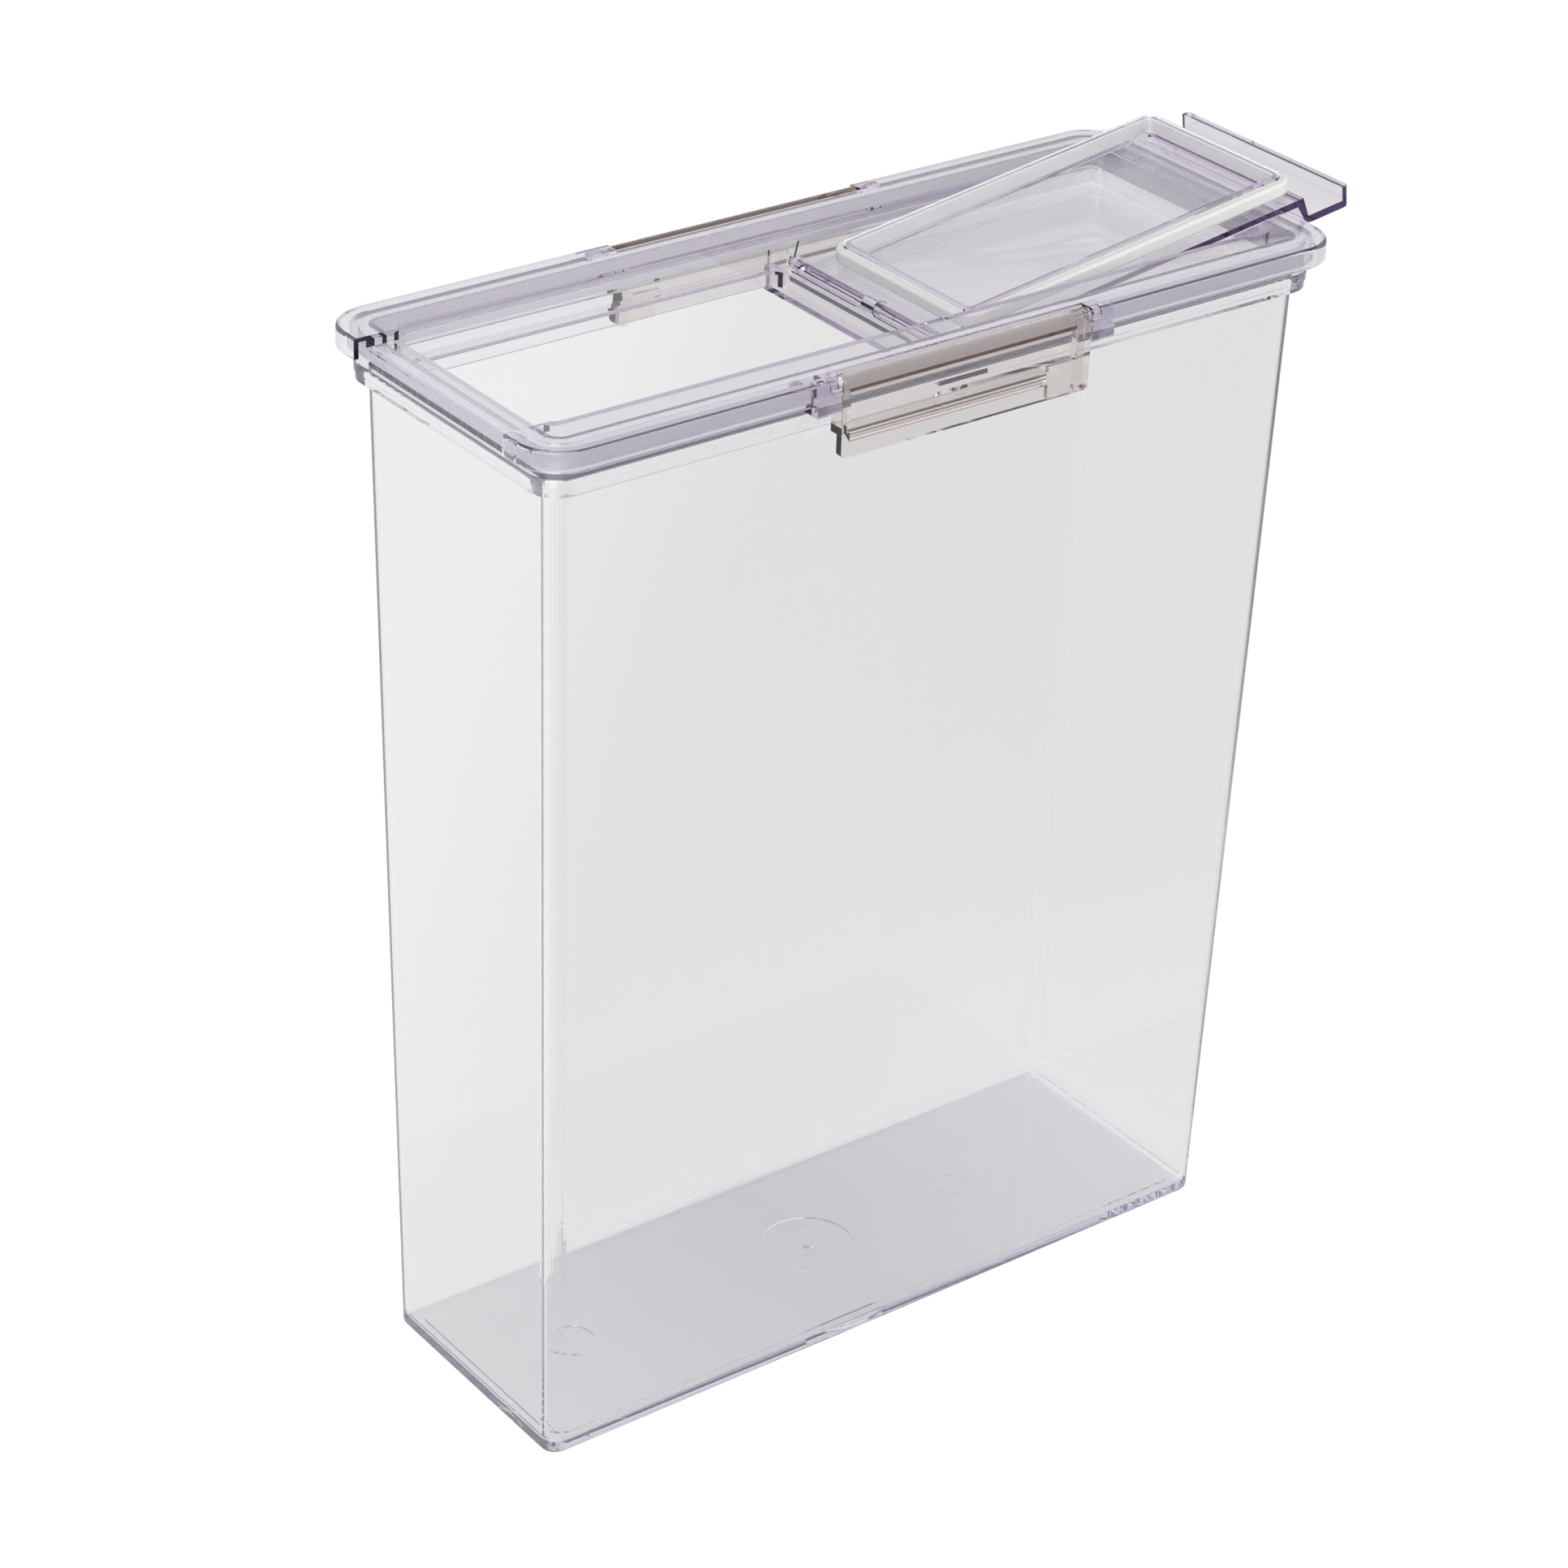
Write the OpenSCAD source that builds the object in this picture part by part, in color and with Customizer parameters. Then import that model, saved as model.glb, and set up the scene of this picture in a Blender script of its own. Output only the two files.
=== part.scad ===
// Tall clear cereal container with a latched lid and a flip-open pour door.
// Millimetres. X runs from the pour end (-X) to the hinge end (+X), Y runs across,
// and Z runs up from the table. The origin is the middle of the bin's foot.
// The pour door is drawn open, lying back over the lid, and both latches are closed.

/* [Bin] */
// Height of the bin's mouth above the table
bin_h = 274.6; // [180:0.2:320]
// Thickness of the bin's walls
bin_wall = 2.2; // [1.4:0.1:3]
// Thickness of the bin's floor
bin_floor = 2.4; // [1.8:0.1:4]
// Radius of the bin's upright corners
bin_r = 4.7; // [4.2:0.1:6]
// Rounding of the foot's outer edge
foot_round = 1.6; // [0.8:0.1:2]
// How much each end wall leans in from the mouth to the foot
draft_x = 4.2; // [1:0.1:8]
// How much each side wall leans in from the mouth to the foot
draft_y = 3.2; // [1:0.1:5]
// How far the flange round the mouth stands out from the wall
rim_w = 3.4; // [2.6:0.1:4]
// Height of the flange round the mouth
rim_h = 4.4; // [3.4:0.1:6]
// How far the flange's top lies below the mouth's edge
rim_drop = 1.2; // [0.8:0.1:2]

/* [Floor marks] */
// Width of the border left round the floor's raised panel
panel_border = 5.2; // [4:0.2:10]
// Rise of the floor's panel above its border
panel_rise = 0.5; // [0.3:0.1:1]
// Radius of the round gate dish in the floor's middle
gate_r = 12.5; // [8:0.5:16]
// Radius of the gate stub in the dish's middle
stub_r = 1.6; // [1:0.1:2.4]
// Height of the gate stub above the dish
stub_h = 0.7; // [0.3:0.1:1.2]
// Radius of the plain ring mark towards the pour end
pour_mark_r = 6.5; // [4:0.5:8]
// Distance of that ring mark from the floor's middle
pour_mark_x = 76.7; // [60:0.1:84]
// Radius of the plain ring mark towards the hinge end
hinge_mark_r = 5; // [4:0.5:8]
// Distance of that ring mark from the floor's middle
hinge_mark_x = 50; // [40:0.5:84]
// Width of the ring marks' lines
mark_w = 0.6; // [0.4:0.1:1]

/* [Lid border] */
// Length of the lid's outline
lid_len = 236; // [225:1:260]
// Width of the lid's outline
lid_wid = 94.2; // [92:0.2:104]
// Radius of the lid's outline corners
lid_r = 11.8; // [11.4:0.2:13]
// Height of the lid's top above the bin's mouth
lid_rise = 7.6; // [7.4:0.1:9]
// Rounding of the lid's top outer edge
lid_edge = 1; // [0.5:0.1:1.2]
// Thickness of the lid's flat top between its ribs
web_t = 1.1; // [0.8:0.1:1.6]
// Thickness of the skirt round the lid's edge
skirt_t = 1.3; // [1:0.1:1.6]
// Depth of the skirt below the lid's top
skirt_h = 5.2; // [4.6:0.1:5.4]
// Distance from the lid's edge to the outer rib
rib_in = 3.3; // [3.1:0.1:3.6]
// Thickness of the outer rib
outer_rib_t = 2.3; // [2.2:0.1:2.6]
// Width of the groove between the ribs, which holds the seal
groove_w = 2.1; // [1.8:0.1:2.4]
// Thickness of the inner rib
inner_rib_t = 1.2; // [0.8:0.1:1.5]
// Depth of both ribs below the lid's top
rib_h = 5.4; // [5:0.1:5.6]
// Distance from the lid's edge in to the outside of the bin's end walls
mouth_in_x = 6.95; // [6.7:0.05:7.3]
// Distance from the lid's edge in to the outside of the bin's side walls
mouth_in_y = 7.95; // [7.7:0.05:8.3]

/* [Well] */
// Distance from the lid's edge to the well's end walls
well_in_x = 12; // [11.8:0.1:14]
// Distance from the lid's edge to the well's side walls
well_in_y = 15.6; // [13:0.1:17]
// Thickness of the well's walls and floors
well_wall = 1.2; // [0.9:0.1:1.4]
// Radius of the well's corners
well_r = 3; // [1.5:0.5:5]
// Depth of the ledge round the pour opening below the lid's top
ledge_drop = 7.9; // [7.6:0.1:8.4]
// Width of the ledge at the pour end
end_ledge = 1.8; // [1.6:0.1:3]
// Width of the ledge along the sides of the pour opening
side_ledge = 3.9; // [3:0.1:6]
// Radius of the pour opening's corners
pour_r = 4; // [3:0.5:6]
// Height of the neck that hangs round the pour opening
neck_h = 4; // [3:0.1:5]
// Thickness of the bar between the pour opening and the hinge trench
bar_t = 1.4; // [1:0.1:2]
// Length of the hinge trench
trench_len = 11.9; // [11.4:0.1:14]
// Depth of the hinge trench below the lid's top
trench_drop = 13.7; // [13.4:0.1:16]
// Depth of the well under the open door below the lid's top
pocket_drop = 12.2; // [12:0.1:13.2]
// Width of the notch that the door's tab lies in at the pour end
notch_w = 61.2; // [61:0.2:64]
// Depth of the bridge across the notch below the lid's top
bridge_drop = 2.9; // [2.7:0.1:3.2]

/* [Pour door] */
// How far past the lid's end the open door's step would lie if the door lay level
step_gap = 1.5; // [1.4:0.1:6]
// Distance of the hinge axis from the pour opening's edge
hinge_gap = 7.6; // [7.2:0.1:8]
// Depth of the hinge axis below the lid's top
hinge_drop = 9.1; // [8.9:0.1:9.3]
// Radius of the moulded hinge barrel
barrel_r = 2; // [1.6:0.1:2.3]
// Radius of the pins that turn in the lid's side walls
door_pin_r = 1.2; // [0.8:0.1:1.4]
// Height of the plug frame below the door's plate
frame_h = 5.4; // [5:0.1:5.6]
// Wall of the plug frame
frame_wall = 1.7; // [1.2:0.1:2.2]
// Outer radius of the plug frame's corners
frame_r = 3; // [2.4:0.1:4]
// Thickness of the door's plate
plate_t = 1.85; // [1.4:0.05:2]
// Thickness of the finger tab
tab_t = 2; // [1.4:0.1:2.2]
// How far the finger tab reaches past the lid's end when closed
tab_reach = 0.9; // [0.5:0.1:3]
// Depth of the lip at the tab's end
lip_h = 5.7; // [4:0.1:5.8]
// Gap between the open door and the lid's end border under it
rest_gap = 1.27; // [1:0.05:2]

/* [Door gasket] */
// How far the gasket stands out from the plug frame
gasket_out = 1.9; // [1.4:0.1:2.4]
// Height of the gasket
gasket_h = 3.75; // [2.5:0.05:4]
// Depth of the frame's groove that holds the gasket
gasket_seat = 0.5; // [0.3:0.1:0.8]
// Rounding of the gasket's outer edges
gasket_round = 0.8; // [0.3:0.1:0.9]

/* [Latches] */
// Length of each latch
latch_len = 73.4; // [60:0.2:90]
// Distance from the lid's top down to the latch's lower edge
latch_h = 20.2; // [19:0.1:24]
// Thickness of the latch's blade
blade_t = 1.9; // [1.5:0.1:2.1]
// Radius of the beam along the latch's hinge
beam_r = 2.2; // [1.8:0.1:2.2]
// Radius of the latch's pins
latch_pin_r = 1.2; // [0.8:0.1:1.2]
// Length of the latch's pins
latch_pin_len = 3.1; // [2:0.1:4]
// Length of each lug that holds a latch pin
lug_len = 6.8; // [5.5:0.1:9]
// How far the latch's catch reaches in under the flange
catch_grip = 0.8; // [0.4:0.1:1.2]
// Height of the latch's catch
catch_h = 2.4; // [1.6:0.1:3]
// Width of the ribs at the latch's ends
end_rib_w = 3.1; // [2:0.1:4]
// Length of the thicker thumb pad at one end
pad_len = 8.6; // [6:0.2:14]
// Height of the thumb pad
pad_h = 8; // [5:0.5:10]

/* [Clearances] */
// Gap between a hinge pin and its hole
pin_gap = 0.05; // [0.02:0.01:0.1]
// Gap between the lid's seal and the bin's mouth
seal_gap = 0.3; // [0.2:0.05:0.5]
// Gap between the closed door's gasket and the pour opening
gasket_gap = 0.3; // [0.2:0.05:0.5]
// Gap between the closed door's plate and the ledge
ledge_gap = 0.35; // [0.25:0.05:0.5]
// Gap between the door's sides and the well's side walls
side_gap = 1.4; // [1.2:0.1:2]
// Gap at each end of a latch, beside its lug
latch_gap = 0.3; // [0.2:0.05:0.5]
// Gap between the latch's catch and the flange above it
catch_gap = 0.3; // [0.2:0.05:0.5]
// Gap round a soft ring in its groove
ring_gap = 0.1; // [0.05:0.05:0.2]

/* [Hidden] */
$fn = 48;
eps = 0.01;
cut = 1;

// Lid heights and outline
lid_top = bin_h + lid_rise;
lid_x = lid_len / 2;
lid_y = lid_wid / 2;
ledge_top = lid_top - ledge_drop;
bridge_top = lid_top - bridge_drop;
rib_bottom = lid_top - rib_h;

// Distances in from the lid's edge, from the outer rib inwards
groove_in = rib_in + outer_rib_t;
inner_rib_in = groove_in + groove_w;
ribs_end = inner_rib_in + inner_rib_t;

// Bin's mouth
mouth_x = lid_x - mouth_in_x;
mouth_y = lid_y - mouth_in_y;
rim_top = bin_h - rim_drop;
rim_bottom = rim_top - rim_h;
rim_step = 0.35;
rim_nose = 0.8;
panel_r = 3;
mark_rise = 0.3;
cavity_round = 1.8;

// Well and pour opening
well_x = lid_x - well_in_x;
well_y = lid_y - well_in_y;
pour_x0 = -well_x + end_ledge;
plate_x0 = pour_x0 + gasket_gap;
hinge_x = (lid_x + plate_x0 + step_gap) / 2;
pour_x1 = hinge_x - hinge_gap;
pour_len = pour_x1 - pour_x0;
pour_xc = (pour_x0 + pour_x1) / 2;
pour_y = well_y - side_ledge;
trench_x0 = pour_x1 + bar_t;
trench_x1 = trench_x0 + trench_len;
trench_floor = lid_top - trench_drop;
pocket_floor = lid_top - pocket_drop;
post_w = 1.2;
post_out = 0.7;
bridge_low = bridge_top - well_wall;

// Door, in its closed pose
hinge_z = lid_top - hinge_drop;
frame_in = gasket_gap + gasket_out;
frame_len = pour_len - 2 * frame_in;
frame_wid = 2 * (pour_y - frame_in);
plate_bottom = ledge_top + ledge_gap;
plate_top = plate_bottom + plate_t;
plate_x1 = hinge_x + barrel_r;
plate_y = well_y - side_gap;
tab_sink = 0.15;
tab_top = lid_top - tab_sink;
tab_bottom = tab_top - tab_t;
tab_x0 = -lid_x - tab_reach;
lip_t = 2.1;
tab_round = 1.5;
door_r = 1.2;
barrel_short = 0.1;
barrel_half = plate_y - barrel_short;
gasket_drop = 0.8;
gasket_low = plate_bottom - gasket_drop - gasket_h;

// Tilt of the open door, which brings its plate just over the lid's end border
rest_run = well_x - hinge_x;
rest_rise = hinge_drop + rest_gap;
rest_reach = sqrt(rest_run * rest_run + rest_rise * rest_rise);
door_tilt = atan2(rest_rise, rest_run) + asin((plate_top - hinge_z) / rest_reach);
door_open = 180 - door_tilt;

// Latches and their lugs
beam_sink = 0.1;
beam_y = lid_y - beam_r;
beam_z = lid_top - beam_sink - beam_r;
latch_x = latch_len / 2;
latch_low = lid_top - latch_h;
lug_x0 = latch_x + latch_gap;
lug_x1 = lug_x0 + lug_len;
lug_clear = 0.4;
lug_low = rim_top + lug_clear;
rim_y = mouth_y + rim_w;
catch_y = rim_y - catch_grip;
catch_top = rim_bottom - catch_gap;
catch_slope = 1;
rib_clear = 0.4;
pad_out = 1.2;
latch_r = 1.5;
cutback_y = beam_y - beam_r - latch_gap;
lug_root = 0.4;
lug_in = lid_y - cutback_y + lug_root;

// Half the bin's outer length and width at height z
function half_x(z) = mouth_x - draft_x * (1 - z / bin_h);
function half_y(z) = mouth_y - draft_y * (1 - z / bin_h);

// A rectangle with round corners, centred
module round_rect(w, d, r) {
    square([w - 2 * r, d], center = true);
    square([w, d - 2 * r], center = true);
    for (x = [-1, 1], y = [-1, 1])
        translate([x * (w / 2 - r), y * (d / 2 - r)]) circle(r);
}

// A flat ring between two distances in from the lid's outline
module border_ring(from_in, to_in) {
    difference() {
        round_rect(lid_len - 2 * from_in, lid_wid - 2 * from_in, lid_r - from_in);
        round_rect(lid_len - 2 * to_in, lid_wid - 2 * to_in, lid_r - to_in);
    }
}

// Sweeps a flat section round an outline; the section's x is measured out from the edge
module sweep(w, d, r) {
    for (side = [0, 1]) {
        rotate([0, 0, 180 * side]) {
            translate([w / 2, d / 2 - r, 0]) rotate([90, 0, 0]) linear_extrude(d - 2 * r) children();
            translate([w / 2 - r, d / 2, 0])
                rotate([90, 0, 90]) translate([0, 0, -(w - 2 * r)]) linear_extrude(w - 2 * r) children();
        }
    }
    for (x = [0, 1], y = [0, 1])
        mirror([x, 0, 0]) mirror([0, y, 0])
            translate([w / 2 - r, d / 2 - r, 0])
                rotate_extrude(angle = 90) translate([r, 0]) children();
}

// A block with its top outer edge rounded
module soft_block(w, d, r, h, e) {
    linear_extrude(h - e) round_rect(w, d, r);
    linear_extrude(h) round_rect(w - 2 * e, d - 2 * e, r - e);
    sweep(w, d, r) intersection() {
        translate([-e, h - e]) circle(e);
        translate([-e, h - e]) square(e);
    }
}

// ---- Bin ----

// One thin slice of the bin's outline at height z, set in from its outer face
module bin_slice(z, inset, r) {
    translate([0, 0, z]) linear_extrude(eps)
        round_rect(2 * (half_x(z) - inset), 2 * (half_y(z) - inset), r, $fn = 32);
}

// A tapered block from height low to height top, rounded round its lower edge
module bin_block(low, top, inset, r, round_by) {
    hull() {
        for (a = [0:15:90]) {
            in = round_by * (1 - cos(a));
            bin_slice(low + round_by * (1 - sin(a)), inset + in, r - in);
        }
        bin_slice(top - eps, inset, r);
    }
}

// Section of the flange: a bead with a small step half way down
module rim_section() {
    half = rim_h / 2;
    root = bin_wall / 2;
    translate([-root, rim_bottom]) square([rim_w - rim_step + root, half]);
    translate([-root, rim_bottom + half]) square([rim_w + root, half - rim_nose]);
    translate([-root, rim_bottom + half]) square([rim_w + root - rim_nose, half]);
    translate([rim_w - rim_nose, rim_top - rim_nose]) circle(rim_nose);
}

// A plain raised ring on the floor
module ring_mark(x, r) {
    translate([x, 0, bin_floor - eps]) linear_extrude(panel_rise + mark_rise + eps) difference() {
        circle(r);
        circle(r - mark_w);
    }
}

// What stands up from the bin's floor: the panel, the gate stub and the ring marks
module floor_relief() {
    translate([0, 0, bin_floor - eps]) linear_extrude(panel_rise + eps) difference() {
        round_rect(2 * (half_x(0) - panel_border), 2 * (half_y(0) - panel_border), panel_r);
        circle(gate_r);
    }
    translate([0, 0, bin_floor - eps]) cylinder(r = stub_r, h = stub_h + eps);
    ring_mark(-pour_mark_x, pour_mark_r);
    ring_mark(hinge_mark_x, hinge_mark_r);
}

module bin() {
    color([0.90, 0.90, 0.92, 0.35]) difference() {
        union() {
            bin_block(0, bin_h, 0, bin_r, foot_round);
            sweep(2 * mouth_x, 2 * mouth_y, bin_r) rim_section();
        }
        difference() {
            bin_block(bin_floor, bin_h + cut, bin_wall, bin_r - bin_wall, cavity_round);
            floor_relief();
        }
    }
}

// ---- Lid ----

// Everything above the bridge across the pour notch
module notch_space(low, x1) {
    translate([-lid_x - cut, -notch_w / 2, low]) cube([lid_x + cut + x1, notch_w, lid_top]);
}

// The hollow rings under the lid's border
module under_cuts() {
    difference() {
        translate([0, 0, rib_bottom - cut]) linear_extrude(rib_h + cut - web_t) {
            border_ring(skirt_t, rib_in);
            border_ring(groove_in, inner_rib_in);
            difference() {
                round_rect(lid_len - 2 * ribs_end, lid_wid - 2 * ribs_end, lid_r - ribs_end);
                round_rect(2 * (well_x + well_wall), 2 * (well_y + well_wall), well_r);
            }
        }
        notch_space(bridge_low, -well_x);
    }
}

// The border with its skirt and two ribs
module lid_border() {
    difference() {
        union() {
            translate([0, 0, lid_top - skirt_h]) soft_block(lid_len, lid_wid, lid_r, skirt_h, lid_edge);
            translate([0, 0, rib_bottom]) linear_extrude(rib_h - web_t) border_ring(rib_in, ribs_end);
        }
        under_cuts();
        latch_space();
    }
}

// Where the border is cut away for both latches and their lugs
module latch_space() {
    for (side = [-1, 1])
        translate([0, side * (cutback_y + lid_y / 2), lid_top])
            cube([2 * lug_x1, lid_y, 2 * (lid_top - lug_low)], center = true);
}

// Outside of the well: ledge, neck, trench and pocket
module well_outside() {
    x_low = trench_x0 - bar_t;
    translate([0, 0, ledge_top - well_wall]) linear_extrude(ledge_drop + well_wall - lid_edge)
        round_rect(2 * (well_x + well_wall), 2 * (well_y + well_wall), well_r);
    translate([pour_xc, 0, ledge_top - neck_h]) linear_extrude(neck_h)
        round_rect(pour_len + 2 * well_wall, 2 * (pour_y + well_wall), pour_r + well_wall);
    translate([x_low, -well_y - well_wall, trench_floor - well_wall])
        cube([trench_x1 + well_wall - x_low, 2 * (well_y + well_wall), ledge_top - trench_floor + well_wall]);
    translate([0, 0, pocket_floor - well_wall]) linear_extrude(ledge_top - pocket_floor + well_wall)
        pocket_plan(well_wall);
}

// Plan of the pocket that the open door lies in, grown by g
module pocket_plan(g) {
    w = well_x - trench_x1 + well_r;
    translate([well_x - w / 2, 0]) round_rect(w + 2 * g, 2 * (well_y + g), well_r);
}

// Inside of the well, cut out of the lid
module well_inside() {
    translate([0, 0, ledge_top]) linear_extrude(ledge_drop + cut) round_rect(2 * well_x, 2 * well_y, well_r);
    translate([pour_xc, 0, trench_floor - cut]) linear_extrude(trench_drop + cut)
        round_rect(pour_len, 2 * pour_y, pour_r);
    translate([trench_x0, -well_y, trench_floor]) cube([trench_len, 2 * well_y, trench_drop]);
    translate([0, 0, pocket_floor]) linear_extrude(pocket_drop) pocket_plan(0);
}

// Holes for the door's pins, each with a shallow lead-in above it
module door_pin_holes() {
    lead_top = ledge_top + ledge_drop / 2;
    lead_low = hinge_z + door_pin_r / 2;
    wide = 1.9;
    narrow = 0.8;
    for (side = [-1, 1]) {
        translate([hinge_x, side * (well_y + well_wall / 2), hinge_z]) rotate([90, 0, 0])
            cylinder(r = door_pin_r + pin_gap, h = well_wall + cut, center = true);
        translate([hinge_x, side * well_y, 0]) rotate([90, 0, 0]) linear_extrude(well_wall, center = true)
            polygon([[-wide, lead_top], [wide, lead_top], [narrow, lead_low], [-narrow, lead_low]]);
    }
}

// Small posts on the side walls beside the pour opening's hinge end
module side_posts() {
    root = 0.4;
    for (side = [0, 1]) mirror([0, side, 0])
        translate([pour_x1, well_y - post_out, ledge_top - root])
            cube([post_w, post_out + root, ledge_drop / 2]);
}

// Lugs that carry the latches' pins
module latch_lugs() {
    h = lid_top - lug_low;
    for (turn = [0, 180], end = [0, 1]) rotate([0, 0, turn]) mirror([end, 0, 0])
        translate([lug_x0, -lid_y, lug_low]) rotate([90, 0, 90]) linear_extrude(lug_len) {
            square([lug_in, h - lid_edge]);
            translate([lid_edge, 0]) square([lug_in - lid_edge, h]);
            translate([lid_edge, h - lid_edge]) circle(lid_edge);
        }
}

// Holes in the lugs for the latches' pins
module latch_pin_holes() {
    for (side = [-1, 1])
        translate([0, side * beam_y, beam_z]) rotate([0, 90, 0])
            cylinder(r = latch_pin_r + pin_gap, h = 2 * (latch_x + latch_pin_len + latch_gap), center = true);
}

module lid() {
    color([0.80, 0.78, 0.88, 0.5]) {
        difference() {
            union() {
                lid_border();
                well_outside();
                latch_lugs();
            }
            well_inside();
            notch_space(bridge_top, -well_x + well_r);
            notch_space(rib_bottom - cut, -lid_x + rib_in);
            latch_pin_holes();
            door_pin_holes();
        }
        side_posts();
    }
}

// Soft ring over the bin's mouth, with a stem in the lid's groove
module lid_seal() {
    low = bin_h + seal_gap;
    top = rib_bottom - 2 * ring_gap;
    body_in = 0.5;
    color([0.95, 0.95, 0.96]) difference() {
        union() {
            translate([0, 0, low]) linear_extrude(top - low)
                border_ring(lug_in + ring_gap, ribs_end + body_in);
            translate([0, 0, top - eps]) linear_extrude(rib_h - web_t + eps)
                border_ring(groove_in + ring_gap, inner_rib_in - ring_gap);
        }
        notch_space(bridge_low - 2 * ring_gap, -well_x);
    }
}

// ---- Pour door ----

// Turns a closed door back to its open pose
module opened() {
    translate([hinge_x, 0, hinge_z]) rotate([0, door_open, 0]) translate([-hinge_x, 0, -hinge_z]) children();
}

// Side view of the plate, step, tab and lip, closed; x along the lid and y up
module door_side() {
    step_x = plate_x0 + plate_t;
    shoulder = 3;
    lean = 1.5;
    top_x = step_x - lean;
    polygon(concat(
        [[plate_x1, plate_bottom], [plate_x0, plate_bottom], [plate_x0 - lean, tab_bottom]],
        [[tab_x0 + lip_t, tab_bottom], [tab_x0 + lip_t, tab_top - lip_h], [tab_x0, tab_top - lip_h]],
        [for (a = [180:-15:90]) [tab_x0 + tab_round * (1 + cos(a)), tab_top - tab_round * (1 - sin(a))]],
        [for (a = [90:-15:15]) [top_x - shoulder * (1 - cos(a)), tab_top - shoulder * (1 - sin(a))]],
        [[step_x, plate_top], [plate_x1, plate_top]]
    ));
}

// The groove round the plug frame that holds the gasket
module gasket_groove() {
    translate([pour_xc, 0, gasket_low - ring_gap]) linear_extrude(gasket_h + 2 * ring_gap) difference() {
        round_rect(frame_len + cut, frame_wid + cut, frame_r + cut / 2);
        round_rect(frame_len - 2 * gasket_seat, frame_wid - 2 * gasket_seat, frame_r - gasket_seat);
    }
}

// The plug frame, which hangs into the pour opening when closed
module plug_frame() {
    difference() {
        translate([pour_xc, 0, plate_bottom - frame_h]) linear_extrude(frame_h + eps) difference() {
            round_rect(frame_len, frame_wid, frame_r);
            round_rect(frame_len - 2 * frame_wall, frame_wid - 2 * frame_wall, frame_r - frame_wall);
        }
        gasket_groove();
    }
}

// The barrel along the hinge, its pins and the web that joins it to the plate
module hinge_barrel() {
    web_in = 0.4;
    web_half = barrel_r - web_in;
    bump_rise = 0.3;
    bump_len = 7;
    pin_short = 0.2;
    pin_end = well_y + well_wall - pin_short;
    translate([hinge_x, 0, hinge_z]) rotate([90, 0, 0]) {
        cylinder(r = barrel_r, h = 2 * barrel_half, center = true);
        cylinder(r = barrel_r + bump_rise, h = bump_len, center = true);
        cylinder(r = door_pin_r, h = 2 * pin_end, center = true);
    }
    translate([hinge_x - web_half, -barrel_half, hinge_z])
        cube([2 * web_half, 2 * barrel_half, plate_bottom - hinge_z + eps]);
}

module flip_door() {
    mid_x = (tab_x0 + plate_x1) / 2;
    color([0.82, 0.80, 0.88, 0.5]) opened() {
        intersection() {
            rotate([90, 0, 0]) linear_extrude(2 * plate_y, center = true) door_side();
            translate([mid_x, 0, plate_bottom - cut]) linear_extrude(ledge_drop + cut)
                round_rect(plate_x1 - tab_x0, 2 * plate_y, door_r);
        }
        plug_frame();
        hinge_barrel();
    }
}

// Soft ring round the plug frame
module door_gasket() {
    seat = gasket_seat - ring_gap / 2;
    w = frame_len + 2 * gasket_out;
    d = frame_wid + 2 * gasket_out;
    r = frame_r + gasket_out;
    color([0.96, 0.96, 0.95]) opened() translate([pour_xc, 0, gasket_low]) sweep(w, d, r) {
        translate([-gasket_out - seat, 0]) square([gasket_out + seat - gasket_round, gasket_h]);
        translate([-gasket_out, gasket_round]) square([gasket_out, gasket_h - 2 * gasket_round]);
        translate([-gasket_round, gasket_round]) circle(gasket_round);
        translate([-gasket_round, gasket_h - gasket_round]) circle(gasket_round);
    }
}

// ---- Latches ----

// Side view of the catch: y out from the lid's middle, z up
module catch_side() {
    inner = -lid_y + blade_t;
    polygon([
        [inner - eps, catch_top], [-catch_y, catch_top], [-catch_y, catch_top - catch_h / 2],
        [inner - eps, catch_top - catch_h - catch_slope]
    ]);
}

// One latch, closed, on the front side
module latch() {
    inner = -lid_y + blade_t;
    rib_y = -(rim_y + rib_clear);
    pad_x1 = latch_x - end_rib_w;
    left_low = catch_top - catch_slope;
    intersection() {
        union() {
            translate([-latch_x, -lid_y, latch_low]) cube([latch_len, blade_t, beam_z - latch_low]);
            translate([0, -beam_y, beam_z]) rotate([0, 90, 0])
                cylinder(r = beam_r, h = latch_len, center = true);
            translate([-latch_x, -lid_y, left_low]) cube([end_rib_w, rib_y + lid_y, beam_z - left_low]);
            translate([latch_x - end_rib_w, -lid_y, latch_low])
                cube([end_rib_w, rib_y + lid_y, beam_z - latch_low]);
            translate([pad_x1 - pad_len, -lid_y, latch_low]) cube([pad_len + eps, blade_t + pad_out, pad_h]);
            translate([-latch_x + end_rib_w, 0, 0]) rotate([90, 0, 90])
                linear_extrude(latch_len - 2 * end_rib_w - pad_len) catch_side();
        }
        translate([0, 0, lid_top]) rotate([90, 0, 0]) linear_extrude(2 * lid_wid, center = true)
            round_rect(latch_len, 2 * latch_h, latch_r);
    }
    translate([0, -beam_y, beam_z]) rotate([0, 90, 0])
        cylinder(r = latch_pin_r, h = 2 * (latch_x + latch_pin_len), center = true);
}

module front_latch() {
    color([0.72, 0.70, 0.69, 0.6]) latch();
}

module back_latch() {
    color([0.72, 0.70, 0.69, 0.6]) rotate([0, 0, 180]) latch();
}

bin();
lid();
lid_seal();
flip_door();
door_gasket();
front_latch();
back_latch();
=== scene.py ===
import math

import bpy
from mathutils import Matrix, Vector

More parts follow.
